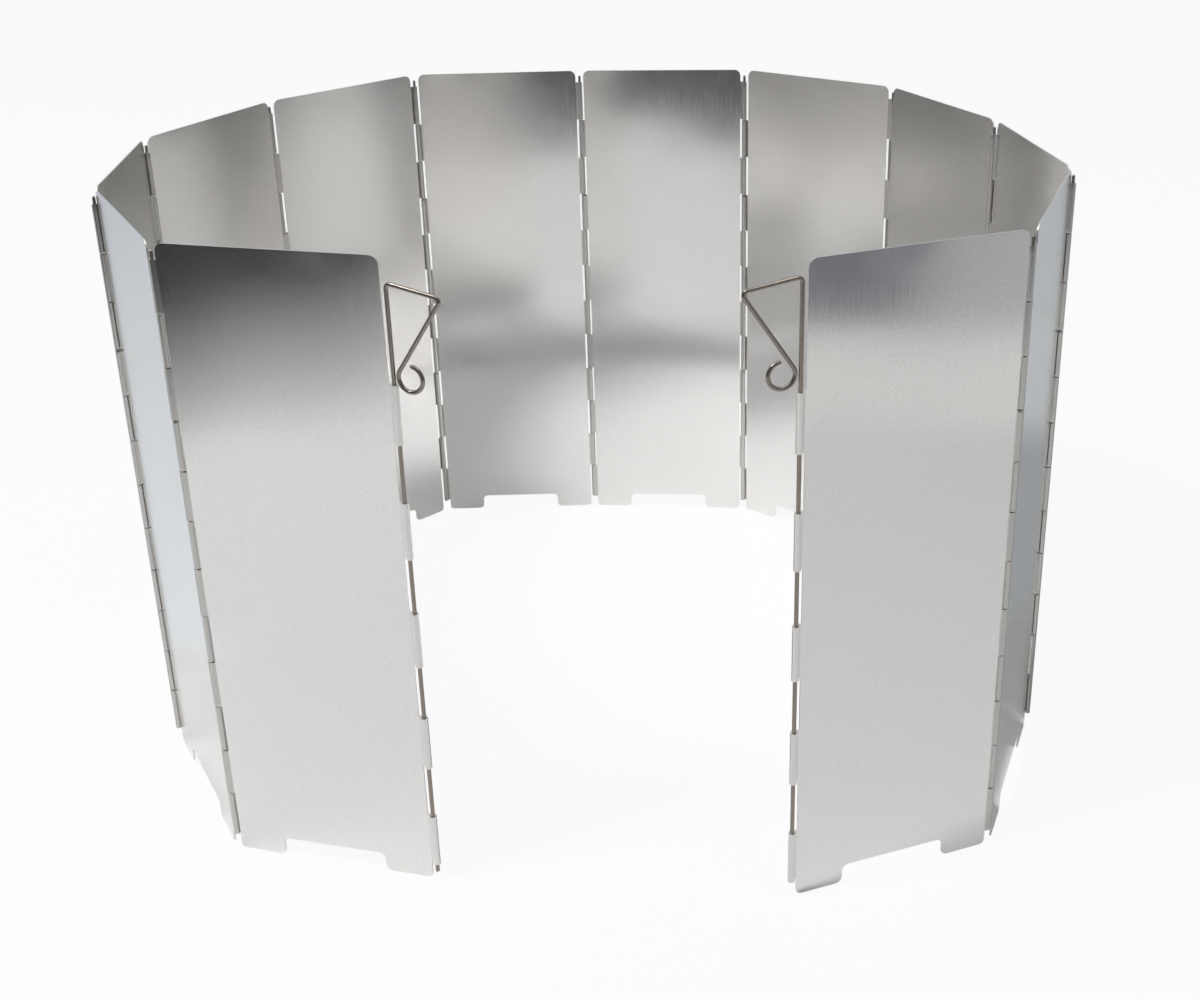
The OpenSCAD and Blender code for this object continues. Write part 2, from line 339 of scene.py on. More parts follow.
# %% [markdown]
# A panel runs from one axis to the next. Its heading follows from the two places, once the step between an
# axis on the outside of the sheet and one on the inside is taken off. The headings could be typed in as
# well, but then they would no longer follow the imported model.

# %% Headings and places of the panels
def is_free(edge):
    """Is this one of the two free edges?"""
    return edge in (0, PANELS)


def axis_offset(edge):
    """How far an axis lies outside the middle of the sheet: odd hinges lie inside it."""
    if is_free(edge):
        return end_offset
    return hinge_offset if edge % 2 == 0 else -hinge_offset


def heading(panel):
    """The direction in which a panel runs from its left axis to its right one."""
    run = axes[panel] - axes[panel - 1]
    step = axis_offset(panel) - axis_offset(panel - 1)
    return math.atan2(run.y, run.x) - math.atan2(step, HINGE_PITCH)


def panel_place(panel):
    """The matrix that stands a panel, made flat in x and z with y to the outside, in its place."""
    left = axes[panel - 1]
    stand = Matrix.Translation((left.x, left.y, 0)) @ Matrix.Rotation(heading(panel), 4, "Z")
    return stand @ Matrix.Translation((0, -axis_offset(panel - 1), 0))


print("headings:", [round(math.degrees(heading(k))) for k in range(1, PANELS + 1)])

# %% [markdown]
# ## Mill-finish aluminium
# The panels are cut from rolled sheet and left bare. Rolling leaves a fine grain that runs up the panel, so
# the sheet spreads a reflection sideways and keeps it sharper up and down. Handling leaves cloudy patches
# and dull specks, and the tool that rolls the knuckles leaves them duller than the rest. The knuckles are
# also painted darker, partly for that dulling and partly as painted shade of the folds between the panels.
# The grain follows the flat layout of the sheet, so it bends with it. On the real sheet it is finer than a
# tenth of a millimetre, and it is drawn coarser here, so that it shows.
#
# Aluminium is a bright, nearly neutral metal. Here it is a little brighter still, and a twentieth of the
# light scatters evenly, because the panels mirror each other more often than the renderer follows.

# %% Sheet aluminium
GRAIN = 0.35 * MM
GRAIN_LENGTH = 18 * MM
CLOUD = 45 * MM
SPECK = 0.5 * MM
SPECK_SHARE = 0.3
SCATTER = 0.05
ROUGH_CLEAR = 0.14
ROUGH_CLOUDY = 0.18
ROUGH_GRAIN = 0.02
ROUGH_KNUCKLE = 0.08


def sheet_aluminium():
    """Bare rolled sheet with a vertical grain, cloudy patches, and knuckles that are duller and partly
    painted shade.
    """
    material, tree = new_material("mill_finish_aluminium")
    flat = add(tree, "ShaderNodeUVMap", uv_map="blank")
    place = add(tree, "ShaderNodeTexCoord").outputs["Object"]
    along = add(tree, "ShaderNodeMapping", {"Vector": flat, "Scale": (1 / GRAIN, 1 / GRAIN_LENGTH, 1)})
    grain = add(tree, "ShaderNodeTexNoise", {"Vector": along, "Scale": 1.0, "Detail": 3.0})
    cloud = add(tree, "ShaderNodeTexNoise", {"Vector": place, "Scale": 1 / CLOUD, "Detail": 4.0})
    speck = add(tree, "ShaderNodeTexNoise", {"Vector": place, "Scale": 1 / SPECK, "Detail": 2.0})
    rolled = add(tree, "ShaderNodeAttribute", attribute_name="rolled").outputs["Fac"]

    tones = {"Factor": cloud, "A": linear("#fbfaf8"), "B": linear("#fdfcfb")}
    colour = add(tree, "ShaderNodeMix", tones, data_type="RGBA").outputs[2]
    dots = add(tree, "ShaderNodeMapRange", {
        "Value": speck, "From Min": 0.4, "From Max": 0.7, "To Min": 0.0, "To Max": SPECK_SHARE})
    tones = {"Factor": dots, "A": colour, "B": linear("#d4d2cf")}
    colour = add(tree, "ShaderNodeMix", tones, data_type="RGBA").outputs[2]
    # Knuckles painted darker: partly the tool's dulling, partly painted shade of the folds between the
    # panels.
    tones = {"Factor": rolled, "A": colour, "B": linear("#cfcdca")}
    colour = add(tree, "ShaderNodeMix", tones, data_type="RGBA").outputs[2]

    cloudy = add(tree, "ShaderNodeMapRange", {
        "Value": cloud, "From Min": 0.3, "From Max": 0.7, "To Min": ROUGH_CLEAR, "To Max": ROUGH_CLOUDY})
    fine = add(tree, "ShaderNodeMapRange", {
        "Value": grain, "From Min": 0.3, "From Max": 0.7, "To Min": -ROUGH_GRAIN, "To Max": ROUGH_GRAIN})
    rough = add(tree, "ShaderNodeMath", {0: cloudy, 1: fine}, operation="ADD")
    rough = add(tree, "ShaderNodeMath", {0: rolled, 1: ROUGH_KNUCKLE, 2: rough}, operation="MULTIPLY_ADD")

    pits = add(tree, "ShaderNodeMath", {0: speck, 1: rolled}, operation="MULTIPLY")
    bump = add(tree, "ShaderNodeBump", {"Strength": 0.15, "Distance": 0.02 * MM, "Height": grain})
    bump = add(tree, "ShaderNodeBump", {
        "Strength": 0.4, "Distance": 0.05 * MM, "Height": pits, "Normal": bump})
    tangent = add(tree, "ShaderNodeTangent", direction_type="UV_MAP", uv_map="blank")
    metal = add(tree, "ShaderNodeBsdfPrincipled", {
        "Base Color": colour, "Metallic": 1 - SCATTER, "Roughness": rough, "Anisotropic": 0.5,
        "Tangent": tangent, "Normal": bump})
    add(tree, "ShaderNodeOutputMaterial", {"Surface": metal})
    return material


aluminium = sheet_aluminium()
print("material:", aluminium.name)

# %% [markdown]
# The press that cuts the sheet shears it, which leaves a bright, slightly torn edge all round. It catches
# the light along the tops. It is a material of its own, because a cut face has no grain and no clouds.

# %% Cut edge
SHEAR_MARK = 0.4 * MM
ROUGH_SMOOTH_CUT = 0.25
ROUGH_TORN_CUT = 0.5


def sheared_edge():
    """The bright cut edge of the sheet, with the marks of the cut on it."""
    material, tree = new_material("sheared_aluminium_edge")
    place = add(tree, "ShaderNodeTexCoord").outputs["Object"]
    marks = add(tree, "ShaderNodeTexNoise", {"Vector": place, "Scale": 1 / SHEAR_MARK, "Detail": 2.0})
    tones = {"Factor": marks, "A": linear("#d6d3cf"), "B": linear("#fbfaf8")}
    colour = add(tree, "ShaderNodeMix", tones, data_type="RGBA").outputs[2]
    rough = add(tree, "ShaderNodeMapRange", {
        "Value": marks, "To Min": ROUGH_SMOOTH_CUT, "To Max": ROUGH_TORN_CUT})
    bump = add(tree, "ShaderNodeBump", {"Strength": 0.4, "Distance": 0.05 * MM, "Height": marks})
    metal = add(tree, "ShaderNodeBsdfPrincipled", {
        "Base Color": colour, "Metallic": 1.0, "Roughness": rough, "Normal": bump})
    add(tree, "ShaderNodeOutputMaterial", {"Surface": metal})
    return material


cut_edge = sheared_edge()
print("material:", cut_edge.name)

# %% [markdown]
# ## The blank
# A panel starts as a flat blank: a tall rectangle with rounded corners, an air notch between its two feet,
# and a comb of tabs down each side. The tabs become knuckles, so the teeth of one panel fall in the gaps of
# the next. On the real object a press stamps the blank in one stroke. Here it is made flat as well and
# rolled afterwards, because every size is easy to name on the flat sheet. Its sizes come first.

# %% Sizes of a blank
PANEL_H = cad_high.z - cad_low.z
TOP_CORNER_R = 3 * MM
FOOT_CORNER_R = 2 * MM
NOTCH_W = 41 * MM
NOTCH_H = 7.5 * MM
NOTCH_R = 2.5 * MM
NOTCH_LIP_R = 2.5 * MM
HINGE_PLACES = 12
HINGE_MARGIN = 5.5 * MM
KNUCKLE_GAP = 0.4 * MM
SLOT_GAP = 0.8 * MM
END_KNUCKLES = 5
END_BOTTOM = 7.2 * MM
END_SLOT_GAP = 0.9 * MM
HANDLE_ROOM = 43 * MM
ROLL_SWEEP = math.radians(290)

hinge_place_h = (PANEL_H - 2 * HINGE_MARGIN) / HINGE_PLACES
end_place_h = (PANEL_H - HANDLE_ROOM - END_BOTTOM) / (2 * END_KNUCKLES - 1)
print("knuckle pitch:", round(hinge_place_h / MM, 2), "mm, at the ends:", round(end_place_h / MM, 2), "mm")

# %% [markdown]
# A tab is as long as the sheet that it takes to reach the wire and to go round it. A hinge has twelve
# places, one above the other, and its two panels take every other one. A free edge has five knuckles with
# gaps as tall as themselves, where the wire shows.

# %% Tabs of a blank
def edge_od(edge):
    """Outside diameter of the knuckles on an edge."""
    return end_od if is_free(edge) else hinge_od


def roll_radius(edge):
    """Radius at the middle of the sheet in a knuckle."""
    return (edge_od(edge) - SHEET) / 2


def edge_back(edge):
    """From the axis to the cut edge of the sheet behind the knuckles."""
    return edge_od(edge) / 2 + (END_SLOT_GAP if is_free(edge) else SLOT_GAP)


def tab_length(edge):
    """Flat length of a tab: up to the axis, then round the roll."""
    return edge_back(edge) + roll_radius(edge) * ROLL_SWEEP


def tab_rows(edge, first):
    """Bottom and top of each tab on an edge, from the lowest up."""
    if is_free(edge):
        starts = [END_BOTTOM + 2 * n * end_place_h for n in range(END_KNUCKLES)]
        return [(z, z + end_place_h) for z in starts]
    ends = [PANEL_H - HINGE_MARGIN - n * hinge_place_h for n in range(first, HINGE_PLACES + 1, 2)]
    return [(z + KNUCKLE_GAP / 2, z + hinge_place_h - KNUCKLE_GAP / 2) for z in reversed(ends)]


print("flat tab:", round(tab_length(1) / MM, 2), "mm, tabs on a hinge edge:", len(tab_rows(1, 1)))

# %% [markdown]
# The outline then goes once round the blank: along the feet and the notch, up the right comb, over the top
# and down the left comb. Corners are arcs of a few points each. Cutting the notch and the slits out of a
# rectangle would give the same shape, with a poorer mesh.

# %% Outline of a blank
def arc(x, z, r, start, end, steps=6):
    """Points of an arc in the plane of the blank, angles in degrees."""
    angles = [math.radians(start + (end - start) * n / steps) for n in range(steps + 1)]
    return [(x + r * math.cos(a), z + r * math.sin(a)) for a in angles]


def blank_outline(panel):
    """Outline of a flat blank, anticlockwise from its left foot, with x = 0 at the left axis."""
    left = edge_back(panel - 1)
    right = HINGE_PITCH - edge_back(panel)
    middle = (left + right) / 2
    near = middle - NOTCH_W / 2
    far = middle + NOTCH_W / 2
    points = arc(near - NOTCH_LIP_R, NOTCH_LIP_R, NOTCH_LIP_R, 270, 360)
    points += arc(near + NOTCH_R, NOTCH_H - NOTCH_R, NOTCH_R, 180, 90)
    points += arc(far - NOTCH_R, NOTCH_H - NOTCH_R, NOTCH_R, 90, 0)
    points += arc(far + NOTCH_LIP_R, NOTCH_LIP_R, NOTCH_LIP_R, 180, 270)
    points += arc(right - FOOT_CORNER_R, FOOT_CORNER_R, FOOT_CORNER_R, 270, 360)
    tip = right + tab_length(panel)
    for low, high in tab_rows(panel, 1):
        points += [(right, low), (tip, low), (tip, high), (right, high)]
    points += arc(right - TOP_CORNER_R, PANEL_H - TOP_CORNER_R, TOP_CORNER_R, 0, 90, steps=8)
    points += arc(left + TOP_CORNER_R, PANEL_H - TOP_CORNER_R, TOP_CORNER_R, 90, 180, steps=8)
    tip = left - tab_length(panel - 1)
    for low, high in reversed(tab_rows(panel - 1, 2)):
        points += [(left, high), (tip, high), (tip, low), (left, low)]
    points += arc(left + FOOT_CORNER_R, FOOT_CORNER_R, FOOT_CORNER_R, 180, 270)
    return points


print("points round panel 1:", len(blank_outline(1)), "round panel 2:", len(blank_outline(2)))

# %% [markdown]
# The blank is one face with that outline. Cuts across the face give it rows and columns, close together on
# the tabs, where the sheet is going to bend. Its flat layout is kept as a UV map, so that the grain of the
# sheet follows the metal round the knuckles.

# %% Cut the blank into rows and columns
JOGGLE_STEPS = 6
ROLL_STEPS = 28
HOLD_LINE = 0.4 * MM
COLUMN = 8 * MM
ROW = 8 * MM
WELD = 1e-7


def bend_lines(edge, cut, way):
    """Where the blank is cut across a row of tabs, so that they can bend."""
    back, roll = edge_back(edge), roll_radius(edge) * ROLL_SWEEP
    lines = [back * n / JOGGLE_STEPS for n in range(JOGGLE_STEPS + 1)]
    lines += [back + roll * n / ROLL_STEPS for n in range(1, ROLL_STEPS)]
    lines += [-HOLD_LINE, -4 * HOLD_LINE]
    return [cut + way * t for t in lines]


def flat_blank(panel):
    """Mesh of a flat blank in x and z, with its flat layout as a UV map."""
    left = edge_back(panel - 1)
    right = HINGE_PITCH - edge_back(panel)
    columns = round((right - left) / COLUMN)
    rows = round(PANEL_H / ROW)
    cuts_x = bend_lines(panel - 1, left, -1) + bend_lines(panel, right, 1)
    cuts_x += [left + (right - left) * n / columns for n in range(1, columns)]
    cuts = [((x, 0, 0), (1, 0, 0)) for x in cuts_x]
    cuts += [((0, 0, PANEL_H * n / rows), (0, 0, 1)) for n in range(1, rows)]
    blank = bmesh.new()
    blank.faces.new([blank.verts.new((x, 0, z)) for x, z in blank_outline(panel)])
    for place, normal in cuts:
        everything = blank.faces[:] + blank.edges[:] + blank.verts[:]
        bmesh.ops.bisect_plane(blank, geom=everything, dist=WELD, plane_co=place, plane_no=normal)
    layout = blank.loops.layers.uv.new("blank")
    for face in blank.faces:
        for loop in face.loops:
            loop[layout].uv = (loop.vert.co.x, loop.vert.co.z)
    mesh = bpy.data.meshes.new(f"blank_{panel}")
    blank.to_mesh(mesh)
    blank.free()
    mesh.shade_smooth()
    return mesh


print("bend lines on one side:", len(bend_lines(1, 0, 1)), "rows:", round(PANEL_H / ROW))

# %% [markdown]
# ## Rolling the edges
# On the real panel a tool curls each tab round a wire. The sheet first steps aside a little, so that the
# roll lies nearly in line with the panel, and then goes round until its end almost meets the sheet again.
# Each knuckle could be modelled by hand, but the rule is the same for every tab, so Geometry Nodes apply it
# to the blank: the distance of a point beyond the cut edge says how far along the step or round the roll it
# ends up. One small group rolls one side and is used twice. It also marks what it rolled, with a number that
# says how much darker the knuckles are painted: partly the tool's dulling, partly painted shade of the
# folds.

# %% Node group that rolls one side
def new_geometry_tree(name, numbers):
    """A node group that takes and gives geometry, with number inputs of those names."""
    tree = bpy.data.node_groups.new(name, "GeometryNodeTree")
    tree.interface.new_socket("Geometry", in_out="OUTPUT", socket_type="NodeSocketGeometry")
    tree.interface.new_socket("Geometry", in_out="INPUT", socket_type="NodeSocketGeometry")
    for number in numbers:
        tree.interface.new_socket(number, in_out="INPUT", socket_type="NodeSocketFloat")
    return tree


def roll_group():
    """Moves the points beyond a cut edge along a small step and round a roll."""
    sizes = ["Cut edge", "Way", "Run", "Side", "Step", "Radius", "Wear"]
    tree = new_geometry_tree("roll_one_side", sizes)
    given = add(tree, "NodeGroupInput").outputs
    spot = add(tree, "ShaderNodeSeparateXYZ", {0: add(tree, "GeometryNodeInputPosition")}).outputs

    beyond = add(tree, "ShaderNodeMath", {0: spot["X"], 1: given["Cut edge"]}, operation="SUBTRACT")
    beyond = add(tree, "ShaderNodeMath", {0: beyond, 1: given["Way"]}, operation="MULTIPLY")
    straight = add(tree, "ShaderNodeMath", {0: beyond, 1: given["Run"]}, operation="MINIMUM")
    around = add(tree, "ShaderNodeMath", {0: beyond, 1: given["Run"]}, operation="SUBTRACT")
    around = add(tree, "ShaderNodeMath", {0: around, 1: 0.0}, operation="MAXIMUM")
    angle = add(tree, "ShaderNodeMath", {0: around, 1: given["Radius"]}, operation="DIVIDE")

    sine = add(tree, "ShaderNodeMath", {0: angle}, operation="SINE")
    out = add(tree, "ShaderNodeMath", {0: sine, 1: given["Radius"], 2: straight}, operation="MULTIPLY_ADD")
    bent = {0: out, 1: given["Way"], 2: given["Cut edge"]}
    x = add(tree, "ShaderNodeMath", bent, operation="MULTIPLY_ADD")

    slope = {"Value": straight, "From Max": given["Run"], "To Max": given["Step"]}
    aside = add(tree, "ShaderNodeMapRange", slope, interpolation_type="SMOOTHSTEP")
    cosine = add(tree, "ShaderNodeMath", {0: angle}, operation="COSINE")
    rise = add(tree, "ShaderNodeMath", {0: 1.0, 1: cosine}, operation="SUBTRACT")
    rise = add(tree, "ShaderNodeMath", {0: rise, 1: given["Radius"]}, operation="MULTIPLY")
    rise = add(tree, "ShaderNodeMath", {0: rise, 1: aside}, operation="SUBTRACT")
    y = add(tree, "ShaderNodeMath", {0: rise, 1: given["Side"], 2: spot["Y"]}, operation="MULTIPLY_ADD")

    target = add(tree, "ShaderNodeCombineXYZ", {"X": x, "Y": y, "Z": spot["Z"]})
    on_tab = add(tree, "FunctionNodeCompare", {0: beyond, 1: 0.0}, operation="GREATER_THAN")
    # Stores how much darker the knuckles are painted: the tool's dulling and painted shade of the folds.
    marked = add(tree, "GeometryNodeStoreNamedAttribute", {
        "Geometry": given["Geometry"], "Selection": on_tab, "Name": "rolled", "Value": given["Wear"]})
    moved = add(tree, "GeometryNodeSetPosition", {
        "Geometry": marked, "Selection": on_tab, "Position": target})
    add(tree, "NodeGroupOutput", {0: moved})
    return tree


roll_one_side = roll_group()
print("nodes that roll one side:", len(roll_one_side.nodes))

# %% [markdown]
# Thin sheet is never quite flat. A low, broad wave across each panel bends the reflections a little. It
# fades out towards the hinges, which hold the sheet straight. A bump in the material would bend reflections
# too, but a wave in the shape also shows along the top edge.

# %% Node tree of a panel
SIDES = ("Left", "Right")
SIZES = ("cut edge", "run", "side", "step", "radius", "wear")
WAVE_LENGTH = 85 * MM
WAVE_FADE = 14 * MM


def panel_tree():
    """Waves a flat blank a little and rolls both its sides."""
    sizes = [f"{side} {size}" for side in SIDES for size in SIZES]
    tree = new_geometry_tree("rolled_panel", sizes + ["Wave height", "Seed"])
    tree.interface.new_socket("Material", in_out="INPUT", socket_type="NodeSocketMaterial")
    given = add(tree, "NodeGroupInput").outputs
    position = add(tree, "GeometryNodeInputPosition")
    x = add(tree, "ShaderNodeSeparateXYZ", {0: position}).outputs["X"]

    swell = {"Vector": position, "W": given["Seed"], "Scale": 1 / WAVE_LENGTH, "Detail": 1.0}
    wave = add(tree, "ShaderNodeTexNoise", swell, noise_dimensions="4D")
    wave = add(tree, "ShaderNodeMath", {0: wave, 1: 0.5}, operation="SUBTRACT")
    wave = add(tree, "ShaderNodeMath", {0: wave, 1: given["Wave height"]}, operation="MULTIPLY")
    from_left = add(tree, "ShaderNodeMath", {0: x, 1: given["Left cut edge"]}, operation="SUBTRACT")
    from_right = add(tree, "ShaderNodeMath", {0: given["Right cut edge"], 1: x}, operation="SUBTRACT")
    inside = add(tree, "ShaderNodeMath", {0: from_left, 1: from_right}, operation="MINIMUM")
    reach = {"Value": inside, "From Max": WAVE_FADE}
    fade = add(tree, "ShaderNodeMapRange", reach, interpolation_type="SMOOTHSTEP")
    wave = add(tree, "ShaderNodeMath", {0: wave, 1: fade}, operation="MULTIPLY")
    lift = add(tree, "ShaderNodeCombineXYZ", {"Y": wave})
    shape = add(tree, "GeometryNodeSetPosition", {"Geometry": given["Geometry"], "Offset": lift})

    for side, way in zip(SIDES, (-1.0, 1.0)):
        shape = add(tree, "GeometryNodeGroup", {0: shape}, node_tree=roll_one_side)
        shape.inputs["Way"].default_value = way
        for size in SIZES:
            tree.links.new(given[f"{side} {size}"], shape.inputs[size.capitalize()])
    shape = add(tree, "GeometryNodeRealizeInstances", {0: shape})
    shape = add(tree, "GeometryNodeSetMaterial", {"Geometry": shape, "Material": given["Material"]})
    add(tree, "NodeGroupOutput", {0: shape})
    return tree


rolled_panel = panel_tree()
print("nodes in a panel's tree:", len(rolled_panel.nodes))

# %% [markdown]
# A modifier keeps its inputs under identifiers, so a small function looks each one up by the name that the
# tree gives it. When everything on an object has been worked out, the result is taken as a plain mesh, and
# the object that it came from is deleted. A plain mesh looks the same in any program that opens it.

# %% From modifiers to a plain mesh
def give(modifier, values):
    """Sets a node modifier's inputs by the names that its tree gives them."""
    for item in modifier.node_group.interface.items_tree:
        if item.in_out == "INPUT" and item.name in values:
            modifier[item.identifier] = values[item.name]


def finished(source, name):
    """A plain mesh object of what an object's modifiers make, which takes that object's place."""
    shape = source.evaluated_get(bpy.context.evaluated_depsgraph_get())
    mesh = bpy.data.meshes.new_from_object(shape)
    mesh.name = name
    source.name = name + "_source"
    piece = bpy.data.objects.new(name, mesh)
    bpy.context.scene.collection.objects.link(piece)
    bpy.data.objects.remove(source)
    return piece


print("sockets of a panel's tree:", len(rolled_panel.interface.items_tree))

# %% [markdown]
# What the tree needs to know about one panel follows from its two edges. The knuckles of the free edges are
# brighter than those of the hinges, which sit in the folds between the panels, so they get less of the
# painted shade and dulling.

# %% Sizes for one panel's tree
WAVE_HEIGHT = 0.8 * MM
# How much darker the knuckles are painted: partly the tool's dulling, partly painted shade of the folds.
FREE_EDGE_SHADE_AND_WEAR = 0.25
HINGE_SHADE_AND_WEAR = 1.0


def roll_values(panel):
    """What a panel's node tree needs to know."""
    values = {"Wave height": WAVE_HEIGHT, "Seed": float(panel), "Material": aluminium}
    cuts = (edge_back(panel - 1), HINGE_PITCH - edge_back(panel))
    for side, edge, cut in zip(SIDES, (panel - 1, panel), cuts):
        values[f"{side} cut edge"] = cut
        values[f"{side} run"] = edge_back(edge)
        values[f"{side} side"] = math.copysign(1, axis_offset(edge))
        values[f"{side} step"] = roll_radius(edge) - abs(axis_offset(edge))
        values[f"{side} radius"] = roll_radius(edge)
        values[f"{side} wear"] = FREE_EDGE_SHADE_AND_WEAR if is_free(edge) else HINGE_SHADE_AND_WEAR
    return values


print("radius of a knuckle:", round(roll_values(2)["Left radius"] / MM, 2), "mm")

# %% [markdown]
# Solidify gives the rolled sheet its half millimetre, and a fine bevel takes the edge off the cut, as
# handling does. Weighted normals keep the large faces flat right up to that bevel, so that the shading
# doesn't bend there. The finished panel is stood in its place and set to ride on its body.

# %% Make the panels
EDGE_ROUND = 0.2 * MM
EDGE_STEPS = 2
EDGE_ANGLE = math.radians(50)
CUT_EDGE_SLOT = 1


def panel_piece(panel):
    """One rolled panel, standing in its place."""
    blank = bpy.data.objects.new("blank", flat_blank(panel))
    bpy.context.scene.collection.objects.link(blank)
    blank.data.materials.append(aluminium)
    blank.data.materials.append(cut_edge)
    roll = blank.modifiers.new("roll", "NODES")
    roll.node_group = rolled_panel
    give(roll, roll_values(panel))
    thickness = blank.modifiers.new("thickness", "SOLIDIFY")
    thickness.thickness = SHEET
    thickness.offset = 0
    thickness.use_even_offset = True
    thickness.material_offset_rim = CUT_EDGE_SLOT
    rounding = blank.modifiers.new("edges", "BEVEL")
    rounding.width = EDGE_ROUND
    rounding.material = CUT_EDGE_SLOT
    rounding.segments = EDGE_STEPS
    rounding.limit_method = "ANGLE"
    rounding.angle_limit = EDGE_ANGLE
    blank.modifiers.new("flat faces", "WEIGHTED_NORMAL")
    piece = finished(blank, f"panel_{panel}_sheet")
    piece.data.transform(panel_place(panel))
    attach(piece, f"panel_{panel}")
    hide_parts(f"panel_{panel}")
    return piece


panel_pieces = [panel_piece(panel) for panel in range(1, PANELS + 1)]
print("faces in the panels:", [len(piece.data.polygons) for piece in panel_pieces])
print("materials:", [m.name for m in panel_pieces[0].data.materials])

# %% [markdown]
# ## Wires
# Each hinge turns on a thin straight wire whose tip shows above the first knuckle. The end pins are one bent
# wire each: up through the knuckles of the free edge, out along a bar, back down to the pin and round a
# curl. A curve with a bevel would do for one wire. All of them are drawn wire, so one node tree makes them:
# it rounds the corners of a path and sweeps a circle along it.

# %% Node tree of a wire
BEND_POINTS = 8


def wire_tree():
    """Sweeps a round wire along a path, with bends at its corners and bevelled ends."""
    sizes = ["Diameter", "Bend radius", "First bend", "Last bend", "Tip share"]
    tree = new_geometry_tree("bent_wire", sizes)
    tree.interface.new_socket("Sides", in_out="INPUT", socket_type="NodeSocketInt")
    tree.interface.new_socket("Material", in_out="INPUT", socket_type="NodeSocketMaterial")
    given = add(tree, "NodeGroupInput").outputs
    index = add(tree, "GeometryNodeInputIndex")
    after = add(tree, "ShaderNodeMath", {0: index, 1: given["First bend"]}, operation="SUBTRACT")
    after = add(tree, "FunctionNodeCompare", {0: after, 1: -0.5}, operation="GREATER_THAN")
    before = add(tree, "ShaderNodeMath", {0: index, 1: given["Last bend"]}, operation="SUBTRACT")
    before = add(tree, "FunctionNodeCompare", {0: before, 1: 0.5}, operation="LESS_THAN")
    bends = add(tree, "FunctionNodeBooleanMath", {0: after, 1: before}, operation="AND")
    radius = add(tree, "ShaderNodeMath", {0: bends, 1: given["Bend radius"]}, operation="MULTIPLY")
    corners = {"Curve": given["Geometry"], "Count": BEND_POINTS, "Radius": radius, "Limit Radius": True}
    path = add(tree, "GeometryNodeFilletCurve", corners, mode="POLY")
    ends = add(tree, "GeometryNodeCurveEndpointSelection", {0: 1, 1: 1})
    tips = {"Switch": ends, "False": 1.0, "True": given["Tip share"]}
    scale = add(tree, "GeometryNodeSwitch", tips, input_type="FLOAT")
    half_d = add(tree, "ShaderNodeMath", {0: given["Diameter"], 1: 0.5}, operation="MULTIPLY")
    ring = add(tree, "GeometryNodeCurvePrimitiveCircle", {"Resolution": given["Sides"], "Radius": half_d})
    wire = add(tree, "GeometryNodeCurveToMesh", {
        "Curve": path, "Profile Curve": ring, "Scale": scale, "Fill Caps": True})
    wire = add(tree, "GeometryNodeRealizeInstances", {0: wire})
    wire = add(tree, "GeometryNodeSetMaterial", {"Geometry": wire, "Material": given["Material"]})
    add(tree, "NodeGroupOutput", {0: wire})
    return tree


bent_wire = wire_tree()
print("nodes in a wire's tree:", len(bent_wire.nodes))

# %% [markdown]
# Steel wire is pulled through a die, which leaves fine bright and dark lines along it. The lines are a noise
# stretched upwards, the way that nearly all of the wire runs, and coarser than on the real one, so that they
# show. A noise on a UV map would also turn with the bends, but there the lines can hardly be seen. The end
# pins are browner and glossier than the hinge wires.

# %% Wire finishes
DRAW_LINE = 0.12 * MM
DRAW_LENGTH = 12 * MM
ROUGH_LINES = 0.06


def drawn_wire(name, dark, light, rough):
    """Drawn steel wire, with fine upright lines."""
    material, tree = new_material(name)
    place = add(tree, "ShaderNodeTexCoord").outputs["Object"]
    stretch = (1 / DRAW_LINE, 1 / DRAW_LINE, 1 / DRAW_LENGTH)
    along = add(tree, "ShaderNodeMapping", {"Vector": place, "Scale": stretch})
    lines = add(tree, "ShaderNodeTexNoise", {"Vector": along, "Scale": 1.0, "Detail": 2.0})
    tones = {"Factor": lines, "A": linear(dark), "B": linear(light)}
    colour = add(tree, "ShaderNodeMix", tones, data_type="RGBA").outputs[2]
    gloss = add(tree, "ShaderNodeMapRange", {
        "Value": lines, "To Min": rough - ROUGH_LINES, "To Max": rough + ROUGH_LINES})
    bump = add(tree, "ShaderNodeBump", {"Strength": 0.2, "Distance": 0.01 * MM, "Height": lines})
    metal = add(tree, "ShaderNodeBsdfPrincipled", {
        "Base Color": colour, "Metallic": 1.0, "Roughness": gloss, "Normal": bump})
    add(tree, "ShaderNodeOutputMaterial", {"Surface": metal})
    return material


# The hinge wire is drawn darker than bare steel, in part as painted shade for the narrow gaps between the
# knuckles where it shows.
hinge_steel = drawn_wire("drawn_steel_hinge_wire", "#716d69", "#979389", rough=0.28)
end_steel = drawn_wire("drawn_steel_end_pin", "#857c74", "#aea59c", rough=0.22)
print("materials:", hinge_steel.name, end_steel.name)

# %% [markdown]
# A wire is made from the points of its path. Its two ends are cut and filed, so they taper a little at the
# tip.

# %% Make a wire along a path
PIN_BEVEL = 0.3 * MM
WIRE_SIDES = 24
SHARP_ANGLE = math.radians(32)
NO_BENDS = (0, -1)


